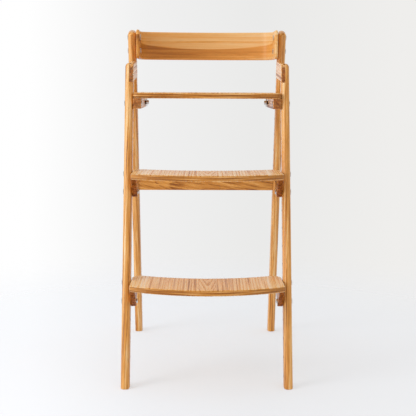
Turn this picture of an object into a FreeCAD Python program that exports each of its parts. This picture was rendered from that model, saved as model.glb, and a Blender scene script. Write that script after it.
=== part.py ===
import FreeCAD, Part
import Sketcher
import math
import os

# Toddler counter height chair in oiled oak.
# X runs across the chair, Y from front to back and Z up from the floor, in millimetres.
# Two A-shaped side frames carry a seat, a footrest and a step, bolted into rows of holes on one
# pitch, and a bent backrest between the tops of the rear legs.

SIZES = {
    # Side frames
    "legs_inside": 371.0,           # clear width between the left and the right legs
    "leg_width": 21.0,              # across the chair
    "leg_depth": 36.0,              # front to back
    "leg_round": 10.0,              # rounding of the long edges and the tops
    "leg_flat": 0.5,                # flat left on each side of the middle of a rounded leg
    "foot_round": 1.5,              # eased edge on the floor
    "leg_lean": 15.8,               # degrees from upright, front legs back and rear legs forward
    "foot_spread": 558.0,           # front foot to rear foot on the floor, axis to axis
    "front_leg_length": 805.5,
    "rear_leg_length": 897.0,       # runs on as the backrest post
    # Bolt holes, measured along the legs from the floor
    "hole_first": 28.0,
    "hole_pitch": 45.0,
    "hole_diameter": 7.0,
    "hole_below_yoke": 35.0,        # the row ends at least this far below the middle of the yoke
    # Yokes between the legs, half-lapped into both
    "yoke_height": 45.0,
    "yoke_on_front": 21.5,          # middle of the yoke, below the top of the front leg
    "yoke_on_rear": 103.0,          # and below the top of the rear leg
    "yoke_nose": 16.0,              # rounding of the upper front corner
    "yoke_edge": 3.0,               # rounding of the edges on the inner face
    # Rear stretcher and its dowels
    "stretcher_height": 45.0,
    "stretcher_thick": 22.0,
    "stretcher_at": 474.0,          # middle, along the rear leg
    "stretcher_round": 4.0,
    "dowel_diameter": 8.0,
    "dowel_fit": 0.05,              # between a dowel and its hole
    "dowel_spacing": 22.0,
    "dowel_in_leg": 15.0,
    "dowel_in_rail": 25.0,
    # Footrest and step, which are the same board
    "board_thick": 14.0,
    "board_gap": 0.5,               # between a board's end and the leg
    "board_reach": 131.0,           # middle of the front edge, ahead of the bolts
    "board_depth": 146.0,           # at the middle
    "board_front_radius": 360.0,
    "board_rear_radius": 360.0,
    "board_front_corner": 4.0,
    "board_rear_corner": 22.0,
    "board_edge": 3.0,
    # Gusset brackets under the footrest and the step
    "gusset_thick": 13.0,
    "gusset_front": 75.0,           # ahead of the bolts
    "gusset_rear": 62.0,
    "gusset_tip": 13.0,             # radius around the lower bolt
    "gusset_edge": 2.0,
    # Seat and its rails
    "seat_reach": 45.0,             # middle of the front edge, ahead of the front bolts
    "seat_depth": 270.0,
    "seat_front_radius": 900.0,
    "seat_corner": 14.0,
    "rail_thick": 20.0,
    "rail_height": 26.0,
    "rail_front": 22.0,             # ahead of the front bolt
    "rail_rear": 18.0,              # behind the rearmost hole
    "rail_nose": 4.0,
    "rail_edge": 2.0,
    # Backrest band, a U in plan
    "band_thick": 8.0,
    "band_height": 74.0,
    "band_drop": 2.0,               # middle of the band below the middle of its bolts
    "band_front": 56.0,             # front ends ahead of the post axis
    "band_back": 88.0,              # inner face behind the post axis
    "band_corner": 36.0,            # inner radius of the two bends
    "band_bow": 650.0,              # inner radius of the back
    "band_edge": 3.5,
    "band_end": 12.0,               # rounding of the front corners of the arms
    "band_bolt_top": 17.0,          # upper bolt below the top of the post
    "band_bolt_pitch": 36.0,
    "spacer_thick": 2.5,
    "spacer_diameter": 16.0,
    # Bolts, nuts and inserts
    "bolt_diameter": 6.0,
    "thread_play": 0.2,             # between a bolt and the thread around it
    "head_diameter": 14.0,
    "head_height": 1.6,
    "head_chamfer": 0.5,
    "socket_width": 4.0,            # hexagon across flats
    "socket_depth": 1.8,            # runs on a little into the shank
    "insert_diameter": 10.0,
    "insert_length": 20.0,
    "insert_fit": 0.1,              # between an insert and its hole
    "insert_relief": 2.0,           # hole left beyond the insert
    "nut_diameter": 11.0,
    "nut_height": 3.0,
    "cap_height": 1.6,              # head of a cap nut, outside the post
    "cap_sleeve": 9.0,              # diameter of its threaded sleeve, inside the post
    "cap_length": 14.0,
    "cap_spare": 2.0,               # thread left beyond the end of the bolt
    "flange_diameter": 15.0,        # head of the seat's front nuts, on the inside of the rails
    "flange_thick": 1.5,
    "bush_diameter": 10.0,
    "bush_length": 3.5,
    "washer_diameter": 22.0,
    "washer_thick": 1.8,
    "rear_nut_height": 4.5,
    # Wood screws from the brackets up into the boards
    "screw_diameter": 4.0,
    "screw_head": 7.6,
    "screw_head_height": 2.6,
    "screw_point": 3.0,
    "screw_bite": 9.0,              # length in the board
    "screw_grip": 5.0,              # bracket left between the screw head and the board
    "screw_play": 0.3,              # around the screw and its head
    "gusset_screw_front": 58.0,     # ahead of the bolts
    "gusset_screw_rear": 28.0,      # behind the bolts, clear of the rounded corner
    "rail_screw_front": 35.0,       # behind the front bolt
    "rail_screw_rear": 130.0,
}

# Holes that the pieces take, counted from the floor, and for the seat from the top
COUNTS = {
    "step_hole": 6,                 # upper bolt of the step
    "footrest_hole": 12,            # upper bolt of the footrest
    "seat_hole": 2,
    "rear_hole_lowest": 12,         # the rear row starts level with this front hole
}

doc = FreeCAD.newDocument("counter_height_chair")
sheet = doc.addObject("Spreadsheet::Sheet", "Dims")
for row, (alias, size) in enumerate({**SIZES, **COUNTS}.items(), start=1):
    sheet.set(f"A{row}", alias)
    sheet.set(f"B{row}", str(size))
    sheet.setAlias(f"B{row}", alias)
doc.recompute()

VECTOR = FreeCAD.Vector
AXIS_X = VECTOR(1, 0, 0)
AXIS_Y = VECTOR(0, 1, 0)
AXIS_Z = VECTOR(0, 0, 1)
SIDES = {"left": -1, "right": 1}
NODES = []
TOUCH = 0.01                        # edges this close to a place count as lying on it

# Places that several pieces share, as expressions on the sheet
LEAN = "Dims.leg_lean"
INSIDE = "(Dims.legs_inside / 2)"
AXIS = "(Dims.legs_inside / 2 + Dims.leg_width / 2)"
OUTSIDE = "(Dims.legs_inside / 2 + Dims.leg_width)"
LEG_ROUND = "min(Dims.leg_round; Dims.leg_width / 2 - Dims.leg_flat)"
BOARD_END = "(Dims.legs_inside / 2 - Dims.board_gap)"
HALF_BOARD = "(Dims.board_thick / 2)"
BORE = "(Dims.bolt_diameter + 2 * Dims.thread_play)"
INSERT_HOLE = "(Dims.insert_diameter + 2 * Dims.insert_fit)"


def hole_at(index):
    """Distance of a numbered hole along its leg."""
    return f"(Dims.hole_first + Dims.hole_pitch * ({index} - 1))"


YOKE_ON_FRONT = "(Dims.front_leg_length - Dims.yoke_on_front)"
YOKE_ON_REAR = "(Dims.rear_leg_length - Dims.yoke_on_rear)"
HOLE_COUNT = (f"(floor((min({YOKE_ON_FRONT}; {YOKE_ON_REAR}) - Dims.hole_below_yoke - Dims.hole_first)"
              f" / Dims.hole_pitch) + 1)")
STEP_HOLE = hole_at("Dims.step_hole")
FOOTREST_HOLE = hole_at("Dims.footrest_hole")
SEAT_HOLE = hole_at(f"({HOLE_COUNT} + 1 - Dims.seat_hole)")

# The origin lies on the floor, midway between the front of the step and the back of the rear feet,
# whose lowest edge is eased
FOOT_BACK = (f"(Dims.leg_depth / 2 / cos({LEAN})"
             f" - Dims.foot_round * ((1 + sin({LEAN})) / cos({LEAN}) - 1))")
FRONT_FOOT = (f"(-({STEP_HOLE} * sin({LEAN}) - Dims.board_reach"
              f" + Dims.foot_spread + {FOOT_BACK}) / 2)")
REAR_FOOT = f"({FRONT_FOOT} + Dims.foot_spread)"


def front_axis(distance):
    """Y and Z of a point on the front leg's axis."""
    return f"({FRONT_FOOT} + {distance} * sin({LEAN}))", f"({distance} * cos({LEAN}))"


def rear_axis(distance):
    """Y and Z of a point on the rear leg's axis."""
    return f"({REAR_FOOT} - {distance} * sin({LEAN}))", f"({distance} * cos({LEAN}))"


def leg_gap(distance):
    """Level distance from the front leg's axis to the rear leg's axis."""
    return f"(Dims.foot_spread - 2 * {distance} * sin({LEAN}))"


def number(expression):
    """Value of an expression on the sheet."""
    value = sheet.evalExpression(expression)
    return float(getattr(value, "Value", value))


def new_body(name):
    return doc.addObject("PartDesign::Body", name)


def new_sketch(body, name, role, offset="0"):
    """Sketch on one of the body's origin planes, moved along the plane's normal."""
    planes = [feature for feature in body.Origin.OriginFeatures if feature.Role == role]
    sketch = body.newObject("Sketcher::SketchObject", name)
    sketch.AttachmentSupport = [(planes[0], "")]
    sketch.MapMode = "FlatFace"
    if offset != "0":
        sketch.setExpression("AttachmentOffset.Base.z", offset)
    return sketch


def pin(sketch, geometry, point, x, y):
    """Tie a point of the sketch to two expressions. A plain 0 puts it on that axis."""
    for kind, expression, axis in (("DistanceX", x, -2), ("DistanceY", y, -1)):
        if expression == "0":
            sketch.addConstraint(Sketcher.Constraint("PointOnObject", geometry, point, axis))
        else:
            rule = Sketcher.Constraint(kind, -1, 1, geometry, point, number(expression))
            index = sketch.addConstraint(rule)
            sketch.setExpression(f"Constraints[{index}]", expression)


def arc_between(start, finish, radius, turn):
    """Shorter arc from start to finish, to the left where turn is 1 and to the right where it is -1."""
    chord = finish - start
    rise = math.sqrt(radius ** 2 - (chord.Length / 2) ** 2)
    left = VECTOR(-chord.y, chord.x, 0).normalize()
    centre = (start + finish) / 2 + left * (rise * turn)
    first, last = (start, finish) if turn > 0 else (finish, start)
    angles = [math.atan2(end.y - centre.y, end.x - centre.x) for end in (first, last)]
    if angles[1] < angles[0]:
        angles[1] += 2 * math.pi
    return Part.ArcOfCircle(Part.Circle(centre, AXIS_Z, radius), angles[0], angles[1])


def outline(sketch, corners):
    """Closed outline. A corner is x, y, and where an arc leaves it, the arc's radius and turn."""
    points = [VECTOR(number(corner[0]), number(corner[1]), 0) for corner in corners]
    ends = []
    for index, corner in enumerate(corners):
        start = points[index]
        finish = points[(index + 1) % len(points)]
        if len(corner) == 2:
            ends.append((sketch.addGeometry(Part.LineSegment(start, finish), False), 1, 2))
        else:
            radius, turn = corner[2], corner[3]
            geometry = sketch.addGeometry(arc_between(start, finish, number(radius), turn), False)
            ends.append((geometry, 1, 2) if turn > 0 else (geometry, 2, 1))
    for index, (geometry, _, last) in enumerate(ends):
        after, first, _ = ends[(index + 1) % len(ends)]
        sketch.addConstraint(Sketcher.Constraint("Coincident", geometry, last, after, first))
    for (geometry, first, _), corner in zip(ends, corners):
        pin(sketch, geometry, first, corner[0], corner[1])
        if len(corner) > 2:
            rule = Sketcher.Constraint("Radius", geometry, number(corner[2]))
            index = sketch.addConstraint(rule)
            sketch.setExpression(f"Constraints[{index}]", corner[2])


def circle(sketch, x, y, diameter):
    round_edge = Part.Circle(VECTOR(number(x), number(y), 0), AXIS_Z, number(diameter) / 2)
    geometry = sketch.addGeometry(round_edge, False)
    index = sketch.addConstraint(Sketcher.Constraint("Diameter", geometry, number(diameter)))
    sketch.setExpression(f"Constraints[{index}]", diameter)
    pin(sketch, geometry, 3, x, y)


def pad(body, name, sketch, length, middle=False, back=False):
    feature = body.newObject("PartDesign::Pad", name)
    feature.Profile = sketch
    feature.Midplane = middle
    feature.Reversed = back
    feature.setExpression("Length", length)
    doc.recompute()
    return feature


def pocket(body, name, sketch, length=None, middle=False, back=False):
    """Cut along the sketch's normal, through everything where no length is given."""
    before = body.Shape.Volume
    feature = body.newObject("PartDesign::Pocket", name)
    feature.Profile = sketch
    feature.Midplane = middle
    feature.Reversed = back
    if length is None:
        feature.Type = "ThroughAll"
    else:
        feature.setExpression("Length", length)
    doc.recompute()
    if body.Shape.Volume >= before:
        raise ValueError(f"{name} cuts nothing")
    return feature


def round_edges(body, name, wanted, radius):
    """Fillet every edge of the body that the test accepts."""
    base = body.Tip
    names = [f"Edge{index}" for index, edge in enumerate(base.Shape.Edges, 1) if wanted(edge)]
    feature = body.newObject("PartDesign::Fillet", name)
    feature.Base = (base, names)
    feature.setExpression("Radius", radius)
    doc.recompute()
    return feature


def along(edge, axis):
    """Is this a straight edge in the given direction?"""
    if len(edge.Vertexes) < 2 or not isinstance(edge.Curve, Part.Line):
        return False
    return abs(edge.Curve.Direction.dot(axis)) > 1 - TOUCH


def level(edge, height):
    """Does the whole edge lie at this height in the body's own frame?"""
    box = edge.BoundBox
    return abs(box.ZMin - height) < TOUCH and abs(box.ZMax - height) < TOUCH


def across(edge, x):
    """Does the whole edge lie at this x in the body's own frame?"""
    box = edge.BoundBox
    return abs(box.XMin - x) < TOUCH and abs(box.XMax - x) < TOUCH


def upright(edge):
    """Does the edge lie in one plane across the chair?"""
    return edge.BoundBox.XLength < TOUCH


def place(item, x, y, z, axis=AXIS_X, angle=None):
    """Bind an object's place, and its turn about one axis, to the sheet."""
    if angle is not None:
        item.Placement = FreeCAD.Placement(VECTOR(), FreeCAD.Rotation(axis, number(angle)))
        item.setExpression("Placement.Rotation.Angle", angle)
    for name, expression in (("x", x), ("y", y), ("z", z)):
        item.setExpression(f"Placement.Base.{name}", expression)


def node(item, label):
    item.Label = label
    NODES.append(item)


def turned(name, profile):
    """Round piece about its own X axis, from a half profile of x and radius."""
    body = new_body(name)
    sketch = new_sketch(body, f"{name}_profile", "XY_Plane")
    outline(sketch, profile)
    feature = body.newObject("PartDesign::Revolution", f"{name}_turned")
    feature.Profile = sketch
    feature.ReferenceAxis = (sketch, ["H_Axis"])
    feature.Angle = 360
    doc.recompute()
    return body


def copies(label, pieces):
    """One node that groups copies of small parts. A piece is its master, x, y, z, axis and angle."""
    links = []
    for count, (master, x, y, z, axis, angle) in enumerate(pieces, 1):
        link = doc.addObject("App::Link", f"{label}_{count}")
        link.LinkedObject = master
        link.Placement = FreeCAD.Placement(VECTOR(), FreeCAD.Rotation(axis, angle))
        place(link, x, y, z)
        links.append(link)
    group = doc.addObject("Part::Compound", f"{label}_group")
    group.Links = links
    node(group, label)


def facing_in(master, side, x, y, z):
    """Copy that points from the given side towards the middle of the chair."""
    return master, f"({side} * {x})", y, z, AXIS_Z, 0 if side < 0 else 180


def facing_out(master, side, x, y, z):
    """Copy that points from the middle of the chair towards the given side."""
    return master, f"({side} * {x})", y, z, AXIS_Z, 180 if side < 0 else 0


# Yoke: its line runs between a point on each leg's axis
YOKE_FRONT_Y, YOKE_FRONT_Z = front_axis(YOKE_ON_FRONT)
YOKE_REAR_Y, YOKE_REAR_Z = rear_axis(YOKE_ON_REAR)
YOKE_RUN = f"({YOKE_REAR_Y} - {YOKE_FRONT_Y})"
YOKE_CLIMB = f"({YOKE_REAR_Z} - {YOKE_FRONT_Z})"
YOKE_SPAN = f"sqrt({YOKE_RUN}^2 + {YOKE_CLIMB}^2)"
YOKE_TILT = f"(atan({YOKE_CLIMB} / {YOKE_RUN}) / 1 deg)"


def make_leg(name, side, lean, foot, length, rows, lap_at):
    """Rounded leg on its own axis, cut level at the floor, drilled, and lapped for its yoke."""
    body = new_body(name)
    half = "(Dims.leg_depth / 2)"
    profile = new_sketch(body, f"{name}_side", "YZ_Plane")
    outline(profile, [(f"-{half}", f"(-{half} * tan({lean}))"), (half, f"({half} * tan({lean}))"),
                      (half, length), (f"-{half}", length)])
    pad(body, f"{name}_blank", profile, "Dims.leg_width", middle=True)
    top = number(length)
    round_edges(body, f"{name}_rounding", lambda edge: along(edge, AXIS_Z) or level(edge, top),
                LEG_ROUND)
    floor = number(half)
    round_edges(body, f"{name}_foot", lambda edge: edge.BoundBox.ZMax < floor, "Dims.foot_round")
    for row, (first, pitch, count) in enumerate(rows):
        drilled = new_sketch(body, f"{name}_hole_{row}", "YZ_Plane")
        circle(drilled, "0", first, "Dims.hole_diameter")
        hole = pocket(body, f"{name}_drill_{row}", drilled, middle=True)
        pattern = body.newObject("PartDesign::LinearPattern", f"{name}_row_{row}")
        pattern.Originals = [hole]
        pattern.Direction = (drilled, ["V_Axis"])
        pattern.setExpression("Length", f"({count} - 1) * {pitch}")
        pattern.setExpression("Occurrences", count)
        body.Tip = pattern
        doc.recompute()
    slope = f"({YOKE_TILT} + {lean})"
    rise = "(Dims.yoke_height / 2)"
    reach = f"((Dims.leg_depth + {rise} * abs(sin({slope}))) / cos({slope}))"
    lap = new_sketch(body, f"{name}_lap", "YZ_Plane")
    outline(lap, [(f"({u} * {reach} * cos({slope}) - {v} * {rise} * sin({slope}))",
                   f"({lap_at} + {u} * {reach} * sin({slope}) + {v} * {rise} * cos({slope}))")
                  for u, v in ((-1, -1), (1, -1), (1, 1), (-1, 1))])
    pocket(body, f"{name}_notch", lap, "Dims.leg_width / 2", back=side < 0)
    place(body, f"({side} * {AXIS})", foot, "0", AXIS_X, f"-({lean})")
    node(body, name)


def make_yoke(name, side):
    """Rail in the inner half of the legs' width, its ends flush with the legs' outer faces."""
    body = new_body(name)
    front = f"({LEAN} + {YOKE_TILT})"
    rear = f"({LEAN} - {YOKE_TILT})"
    rise = "(Dims.yoke_height / 2)"
    profile = new_sketch(body, f"{name}_side", "YZ_Plane")
    outline(profile, [
        (f"(-Dims.leg_depth / 2 / cos({front}) - {rise} * tan({front}))", f"-{rise}"),
        (f"({YOKE_SPAN} + Dims.leg_depth / 2 / cos({rear}) + {rise} * tan({rear}))", f"-{rise}"),
        (f"({YOKE_SPAN} + Dims.leg_depth / 2 / cos({rear}) - {rise} * tan({rear}))", rise),
        (f"(-Dims.leg_depth / 2 / cos({front}) + {rise} * tan({front}))", rise)])
    pad(body, f"{name}_blank", profile, "Dims.leg_width / 2", back=side > 0)
    upper = number(rise)
    middle = number(f"{YOKE_SPAN} / 2")
    round_edges(body, f"{name}_nose",
                lambda edge: along(edge, AXIS_X) and level(edge, upper) and edge.CenterOfMass.y < middle,
                "Dims.yoke_nose")
    inner = number(f"-({side}) * Dims.leg_width / 2")
    round_edges(body, f"{name}_rounding", lambda edge: across(edge, inner), "Dims.yoke_edge")
    place(body, f"({side} * {AXIS})", YOKE_FRONT_Y, YOKE_FRONT_Z, AXIS_X, YOKE_TILT)
    node(body, name)


FRONT_ROWS = [("Dims.hole_first", "Dims.hole_pitch", HOLE_COUNT)]
REAR_ROWS = [(hole_at("Dims.rear_hole_lowest"), "Dims.hole_pitch",
              f"({HOLE_COUNT} + 1 - Dims.rear_hole_lowest)"),
             ("(Dims.rear_leg_length - Dims.band_bolt_top - Dims.band_bolt_pitch)",
              "Dims.band_bolt_pitch", "2")]
for word, hand in SIDES.items():
    make_leg(f"front_leg_{word}", hand, LEAN, FRONT_FOOT, "Dims.front_leg_length", FRONT_ROWS,
             YOKE_ON_FRONT)
    make_leg(f"rear_leg_{word}", hand, f"(-{LEAN})", REAR_FOOT, "Dims.rear_leg_length", REAR_ROWS,
             YOKE_ON_REAR)
    make_yoke(f"yoke_{word}", hand)


def dowel_spots(middle):
    """Places of the two dowels on either side of a middle, as distances along the leg."""
    return {"upper": f"({middle} + Dims.dowel_spacing / 2)", "lower": f"({middle} - Dims.dowel_spacing / 2)"}


def mortises(body, name, hand, face, middle, depth, back):
    """Blind dowel holes in one end face."""
    for spot, distance in dowel_spots(middle).items():
        sketch = new_sketch(body, f"{name}_{spot}", "YZ_Plane", f"({hand} * {face})")
        circle(sketch, "0", distance, "(Dims.dowel_diameter + 2 * Dims.dowel_fit)")
        pocket(body, f"{name}_{spot}_cut", sketch, depth, back=back)


def make_stretcher():
    """Rail between the rear legs, set square to them, on two dowels at each end."""
    body = new_body("rear_stretcher")
    thick = "(Dims.stretcher_thick / 2)"
    tall = "(Dims.stretcher_height / 2)"
    section = new_sketch(body, "stretcher_section", "YZ_Plane")
    outline(section, [(f"-{thick}", f"-{tall}"), (thick, f"-{tall}"), (thick, tall), (f"-{thick}", tall)])
    pad(body, "stretcher_blank", section, "Dims.legs_inside", middle=True)
    round_edges(body, "stretcher_rounding", lambda edge: along(edge, AXIS_X), "Dims.stretcher_round")
    for word, hand in SIDES.items():
        mortises(body, f"stretcher_mortise_{word}", hand, INSIDE, "0", "Dims.dowel_in_rail", hand < 0)
        mortises(doc.getObject(f"rear_leg_{word}"), f"leg_mortise_{word}", -hand, "(Dims.leg_width / 2)",
                 "Dims.stretcher_at", "Dims.dowel_in_leg", hand > 0)
    y, z = rear_axis("Dims.stretcher_at")
    place(body, "0", y, z, AXIS_X, LEAN)
    node(body, "rear_stretcher")


make_stretcher()
DOWEL_LENGTH = "(Dims.dowel_in_leg + Dims.dowel_in_rail)"
DOWEL_RADIUS = "(Dims.dowel_diameter / 2)"
dowel = turned("dowel", [("0", "0"), (DOWEL_LENGTH, "0"), (DOWEL_LENGTH, DOWEL_RADIUS), ("0", DOWEL_RADIUS)])
dowel_places = [rear_axis(distance) for distance in dowel_spots("Dims.stretcher_at").values()]
copies("stretcher_dowels", [facing_in(dowel, hand, f"({INSIDE} + Dims.dowel_in_leg)", y, z)
                            for hand in SIDES.values() for y, z in dowel_places])


# Fasteners, each made once on its own axis
def make_bolt(name, shank):
    """Low-headed bolt with a hexagon socket. The head's underside is at x = 0."""
    head = "(Dims.head_diameter / 2)"
    rod = "(Dims.bolt_diameter / 2)"
    body = turned(name, [
        ("-Dims.head_height", "0"), (f"({shank})", "0"), (f"({shank})", rod), ("0", rod), ("0", head),
        ("(Dims.head_chamfer - Dims.head_height)", head),
        ("-Dims.head_height", f"({head} - Dims.head_chamfer)")])
    socket = new_sketch(body, f"{name}_socket", "YZ_Plane", "-Dims.head_height")
    corner = "(Dims.socket_width / sqrt(3))"
    outline(socket, [(f"({corner} * cos({angle}))", f"({corner} * sin({angle}))")
                     for angle in range(15, 375, 60)])
    pocket(body, f"{name}_hexagon", socket, "Dims.socket_depth", back=True)
    return body


def ring(name, outer, bore, length):
    """Plain round sleeve from x = 0, with its bore right through."""
    return turned(name, [("0", f"({bore} / 2)"), (f"({length})", f"({bore} / 2)"),
                         (f"({length})", f"({outer} / 2)"), ("0", f"({outer} / 2)")])


def make_screw(name):
    """Countersunk wood screw. The head's top is at x = 0 and the point in the board."""
    grip = "(Dims.screw_head_height + Dims.screw_grip + Dims.screw_bite)"
    rod = "(Dims.screw_diameter / 2)"
    return turned(name, [("0", "0"), (grip, "0"), (f"({grip} - Dims.screw_point)", rod),
                         ("Dims.screw_head_height", rod), ("0", "(Dims.screw_head / 2)")])


UPPER_SHANK = "Dims.leg_width + Dims.board_gap + Dims.insert_length"
LOWER_SHANK = "Dims.leg_width + Dims.board_gap + Dims.gusset_thick + Dims.nut_height"
SEAT_SHANK = "Dims.leg_width + Dims.board_gap + Dims.rail_thick"
REAR_STACK = "Dims.bush_length + Dims.washer_thick + Dims.rear_nut_height"
BAND_SHANK = "Dims.band_thick + Dims.spacer_thick + Dims.leg_width - Dims.cap_spare"
upper_bolt = make_bolt("upper_bolt", UPPER_SHANK)
lower_bolt = make_bolt("lower_bolt", LOWER_SHANK)
seat_front_bolt = make_bolt("seat_front_bolt", f"{SEAT_SHANK} + Dims.flange_thick")
seat_rear_bolt = make_bolt("seat_rear_bolt", f"{SEAT_SHANK} + {REAR_STACK}")
band_bolt = make_bolt("band_bolt", BAND_SHANK)
board_insert = ring("board_insert", "Dims.insert_diameter", BORE, "Dims.insert_length")
gusset_nut = ring("gusset_nut", "Dims.nut_diameter", BORE, "Dims.nut_height")
rear_bush = ring("rear_bush", "Dims.bush_diameter", BORE, "Dims.bush_length")
rear_washer = ring("rear_washer", "Dims.washer_diameter", BORE, "Dims.washer_thick")
rear_nut = ring("rear_nut", "Dims.nut_diameter", BORE, "Dims.rear_nut_height")
band_spacer = ring("band_spacer", "Dims.spacer_diameter", "Dims.hole_diameter", "Dims.spacer_thick")
wood_screw = make_screw("wood_screw")


def flanged(name, flange, thick, sleeve, length, blind):
    """Threaded sleeve from x = 0 into the wood, with a flat head outside, which closes a blind bore."""
    head = f"({flange} / 2)"
    bore = f"({BORE} / 2)"
    face = f"(-{thick})"
    start = [(face, "0"), ("0", "0"), ("0", bore)] if blind else [(face, bore)]
    return turned(name, start + [
        (length, bore), (length, f"({sleeve} / 2)"), ("0", f"({sleeve} / 2)"), ("0", head),
        (f"(Dims.head_chamfer - {thick})", head), (face, f"({head} - Dims.head_chamfer)")])


cap_nut = flanged("cap_nut", "Dims.head_diameter", "Dims.cap_height", "Dims.cap_sleeve", "Dims.cap_length",
                  blind=True)
rail_nut = flanged("rail_nut", "Dims.flange_diameter", "Dims.flange_thick", "Dims.insert_diameter",
                   "Dims.rail_thick", blind=False)


def drill(body, name, role, offset, spots, diameter, length=None, back=False):
    """Round holes of one size from one plane."""
    sketch = new_sketch(body, name, role, offset)
    for x, y in spots:
        circle(sketch, x, y, diameter)
    pocket(body, f"{name}_cut", sketch, length, back=back)


PILOT = "(Dims.screw_diameter + 2 * Dims.screw_play)"
HEAD_ROOM = "(Dims.screw_head + 2 * Dims.screw_play)"


def bracket_screw_holes(body, name, top, x, spots):
    """Screw holes up through a bracket, with a wider hole below for each head."""
    places = [(x, y) for y in spots]
    drill(body, f"{name}_pilots", "XY_Plane", top, places, PILOT)
    drill(body, f"{name}_heads", "XY_Plane", f"({top} - Dims.screw_grip)", places, HEAD_ROOM)


def board_screw_holes(body, name, x, spots):
    """Blind screw holes up into the underside of a board, at both ends."""
    places = [(f"({hand} * {x})", y) for hand in SIDES.values() for y in spots]
    drill(body, name, "XY_Plane", f"(-{HALF_BOARD})", places, PILOT,
          "Dims.screw_bite + Dims.screw_play", back=True)


def round_board(body, name, corners):
    """Round a board's corners in plan, then its upper and lower edges."""
    for index, (wanted, radius) in enumerate(corners):
        round_edges(body, f"{name}_corner_{index}", wanted, radius)
    face = number(HALF_BOARD)
    round_edges(body, f"{name}_rounding", lambda edge: level(edge, face) or level(edge, -face),
                "Dims.board_edge")


GUSSET_MIDDLE = f"({BOARD_END} - Dims.gusset_thick / 2)"
GUSSET_SCREWS = ["-Dims.gusset_screw_front", "Dims.gusset_screw_rear"]


def make_board(name, y, z):
    """Board with a curved front and a hollow back, on its upper bolts' line."""
    body = new_body(name)
    front = (f"(Dims.board_front_radius - Dims.board_reach"
             f" - sqrt(Dims.board_front_radius^2 - {BOARD_END}^2))")
    rear = (f"(Dims.board_rear_radius + Dims.board_depth - Dims.board_reach"
            f" - sqrt(Dims.board_rear_radius^2 - {BOARD_END}^2))")
    plan = new_sketch(body, f"{name}_plan", "XY_Plane")
    outline(plan, [(f"-{BOARD_END}", front, "Dims.board_front_radius", 1), (BOARD_END, front),
                   (BOARD_END, rear, "Dims.board_rear_radius", -1), (f"-{BOARD_END}", rear)])
    pad(body, f"{name}_blank", plan, "Dims.board_thick", middle=True)
    round_board(body, name, [
        (lambda edge: along(edge, AXIS_Z) and edge.CenterOfMass.y < 0, "Dims.board_front_corner"),
        (lambda edge: along(edge, AXIS_Z) and edge.CenterOfMass.y > 0
         and abs(edge.CenterOfMass.x) > number(GUSSET_MIDDLE), "Dims.board_rear_corner")])
    for word, hand in SIDES.items():
        drill(body, f"{name}_end_{word}", "YZ_Plane", f"({hand} * {BOARD_END})", [("0", "0")], INSERT_HOLE,
              "Dims.insert_length + Dims.insert_relief", back=hand < 0)
    board_screw_holes(body, f"{name}_screws", GUSSET_MIDDLE, GUSSET_SCREWS)
    place(body, "0", y, z)
    node(body, name)


def tangent(point, centre, radius, turn):
    """Where a line from a point touches a circle, on the side that turn names."""
    dy = f"({centre[0]} - ({point[0]}))"
    dz = f"({centre[1]} - ({point[1]}))"
    square = f"({dy}^2 + {dz}^2)"
    reach = f"sqrt({square} - {radius}^2)"
    return (f"({point[0]} + {reach} / {square} * ({reach} * {dy} - {turn} * {radius} * {dz}))",
            f"({point[1]} + {reach} / {square} * ({reach} * {dz} + {turn} * {radius} * {dy}))")


LOWER_BOLT = (f"(-Dims.hole_pitch * sin({LEAN}))", f"(-Dims.hole_pitch * cos({LEAN}))")


def make_gusset(name, hand, y, z):
    """Plate under a board's end that narrows to a round tip on the lower bolt."""
    body = new_body(name)
    face = f"({hand} * {BOARD_END})"
    top = f"(-{HALF_BOARD})"
    corner_front = ("(-Dims.gusset_front)", top)
    corner_rear = ("Dims.gusset_rear", top)
    side = new_sketch(body, f"{name}_side", "YZ_Plane", face)
    outline(side, [corner_rear, corner_front,
                   (*tangent(corner_front, LOWER_BOLT, "Dims.gusset_tip", -1), "Dims.gusset_tip", 1),
                   tangent(corner_rear, LOWER_BOLT, "Dims.gusset_tip", 1)])
    pad(body, f"{name}_blank", side, "Dims.gusset_thick", back=hand > 0)
    seat = number(top)
    round_edges(body, f"{name}_rounding",
                lambda edge: upright(edge) and not level(edge, seat), "Dims.gusset_edge")
    drill(body, f"{name}_bolt_hole", "YZ_Plane", face, [LOWER_BOLT], "Dims.hole_diameter", back=hand < 0)
    bracket_screw_holes(body, name, top, f"({hand} * {GUSSET_MIDDLE})", GUSSET_SCREWS)
    place(body, "0", y, z)
    node(body, name)


def wood_screws(label, x, y, spots, bottom):
    """Screws at both ends of a board, pointing up. Bottom is the height of a head's underside."""
    copies(label, [(wood_screw, f"({hand} * {x})", f"({y} + ({spot}))", bottom, AXIS_Y, -90)
                   for hand in SIDES.values() for spot in spots])


for board, along_leg in (("footrest", FOOTREST_HOLE), ("step", STEP_HOLE)):
    board_y, board_z = front_axis(along_leg)
    lower_y, lower_z = front_axis(f"({along_leg} - Dims.hole_pitch)")
    make_board(f"{board}_board", board_y, board_z)
    for word, hand in SIDES.items():
        make_gusset(f"{board}_bracket_{word}", hand, board_y, board_z)
        copies(f"{board}_bolts_{word}", [facing_in(upper_bolt, hand, OUTSIDE, board_y, board_z),
                                         facing_in(lower_bolt, hand, OUTSIDE, lower_y, lower_z)])
    copies(f"{board}_inserts", [facing_in(board_insert, hand, BOARD_END, board_y, board_z)
                                for hand in SIDES.values()])
    copies(f"{board}_nuts", [facing_in(gusset_nut, hand, f"({BOARD_END} - Dims.gusset_thick)",
                                       lower_y, lower_z) for hand in SIDES.values()])
    wood_screws(f"{board}_screws", GUSSET_MIDDLE, board_y, GUSSET_SCREWS,
                f"({board_z} - {HALF_BOARD} - Dims.screw_grip - Dims.screw_head_height)")


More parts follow.
